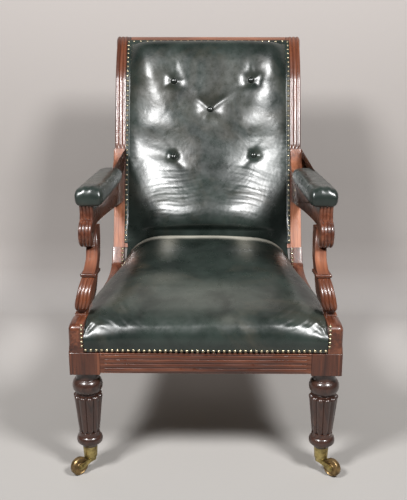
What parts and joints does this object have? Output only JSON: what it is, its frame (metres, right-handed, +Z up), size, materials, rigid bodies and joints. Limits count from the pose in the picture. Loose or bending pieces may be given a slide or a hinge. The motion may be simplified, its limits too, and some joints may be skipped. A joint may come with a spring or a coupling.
{
  "type": "library chair",
  "caption": "Scroll-back library armchair with a buttoned leather back, crowned seat, padded arms, turned reeded front legs and swivelling castors.",
  "frame": {"origin": "bottom centre of the bounding box, on the floor under the middle of the chair", "axes": "+Z up, +Y to the back of the chair, +X to the right of someone facing it"},
  "size_m": [0.6832, 0.885, 1.02],
  "materials": {
    "mahogany": "french polished mahogany",
    "dark_mahogany": "darkened polished mahogany",
    "beech": "unpolished beech",
    "leather": "worn dark green hide",
    "webbing": "jute webbing",
    "hessian": "hessian",
    "brass": "aged brass"
  },
  "bodies": {
    "root": {"front_rail": "mahogany", "back_rail": "beech", "side_rail_left": "mahogany", "side_rail_right": "mahogany", "front_leg_left": "dark_mahogany", "front_leg_right": "dark_mahogany", "back_leg_left": "mahogany", "back_leg_right": "mahogany", "back_stile_left": "mahogany", "back_stile_right": "mahogany", "crest_rail": "mahogany", "lower_back_rail": "beech", "arm_left": "mahogany", "arm_right": "mahogany", "arm_support_left": "mahogany", "arm_support_right": "mahogany", "arm_pad_left": "leather", "arm_pad_right": "leather", "corner_blocks": "beech", "seat_webbing": "webbing", "seat_hessian": "hessian", "seat_cushion": "leather", "back_webbing": "webbing", "back_cushion": "leather", "back_buttons": "leather", "outside_back": "leather", "front_nails": "brass", "side_nails_left": "brass", "side_nails_right": "brass", "back_nails_left": "brass", "back_nails_right": "brass", "crest_nails": "brass", "outside_back_nails": "brass", "castor_cup_front_left": "brass", "castor_cup_front_right": "brass", "castor_cup_back_left": "brass", "castor_cup_back_right": "brass"},
    "castor_front_left": {"castor_horn_front_left": "brass", "castor_axle_front_left": "brass"},
    "wheel_front_left": {"castor_wheel_front_left": "brass"},
    "castor_front_right": {"castor_horn_front_right": "brass", "castor_axle_front_right": "brass"},
    "wheel_front_right": {"castor_wheel_front_right": "brass"},
    "castor_back_left": {"castor_horn_back_left": "brass", "castor_axle_back_left": "brass"},
    "wheel_back_left": {"castor_wheel_back_left": "brass"},
    "castor_back_right": {"castor_horn_back_right": "brass", "castor_axle_back_right": "brass"},
    "wheel_back_right": {"castor_wheel_back_right": "brass"}
  },
  "joints": [
    {"name": "castor_swivel_front_left", "type": "hinge", "parent": "root", "child": "castor_front_left", "pos_m": [-0.2945, -0.39798, 0.037], "axis": [0, 0, 1], "continuous": true},
    {"name": "castor_roll_front_left", "type": "hinge", "parent": "castor_front_left", "child": "wheel_front_left", "pos_m": [-0.32083, -0.42254, 0.0235], "axis": [0.682, -0.7314, 0], "continuous": true},
    {"name": "castor_swivel_front_right", "type": "hinge", "parent": "root", "child": "castor_front_right", "pos_m": [0.2945, -0.39798, 0.037], "axis": [0, 0, 1], "continuous": true},
    {"name": "castor_roll_front_right", "type": "hinge", "parent": "castor_front_right", "child": "wheel_front_right", "pos_m": [0.32083, -0.42254, 0.0235], "axis": [0.682, 0.7314, 0], "continuous": true},
    {"name": "castor_swivel_back_left", "type": "hinge", "parent": "root", "child": "castor_back_left", "pos_m": [-0.26354, 0.25952, 0.037], "axis": [0, 0, 1], "continuous": true},
    {"name": "castor_roll_back_left", "type": "hinge", "parent": "castor_back_left", "child": "wheel_back_left", "pos_m": [-0.28419, 0.28901, 0.0235], "axis": [-0.8192, -0.5736, 0], "continuous": true},
    {"name": "castor_swivel_back_right", "type": "hinge", "parent": "root", "child": "castor_back_right", "pos_m": [0.26354, 0.25952, 0.037], "axis": [0, 0, 1], "continuous": true},
    {"name": "castor_roll_back_right", "type": "hinge", "parent": "castor_back_right", "child": "wheel_back_right", "pos_m": [0.28419, 0.28901, 0.0235], "axis": [-0.8192, 0.5736, 0], "continuous": true}
  ]
}
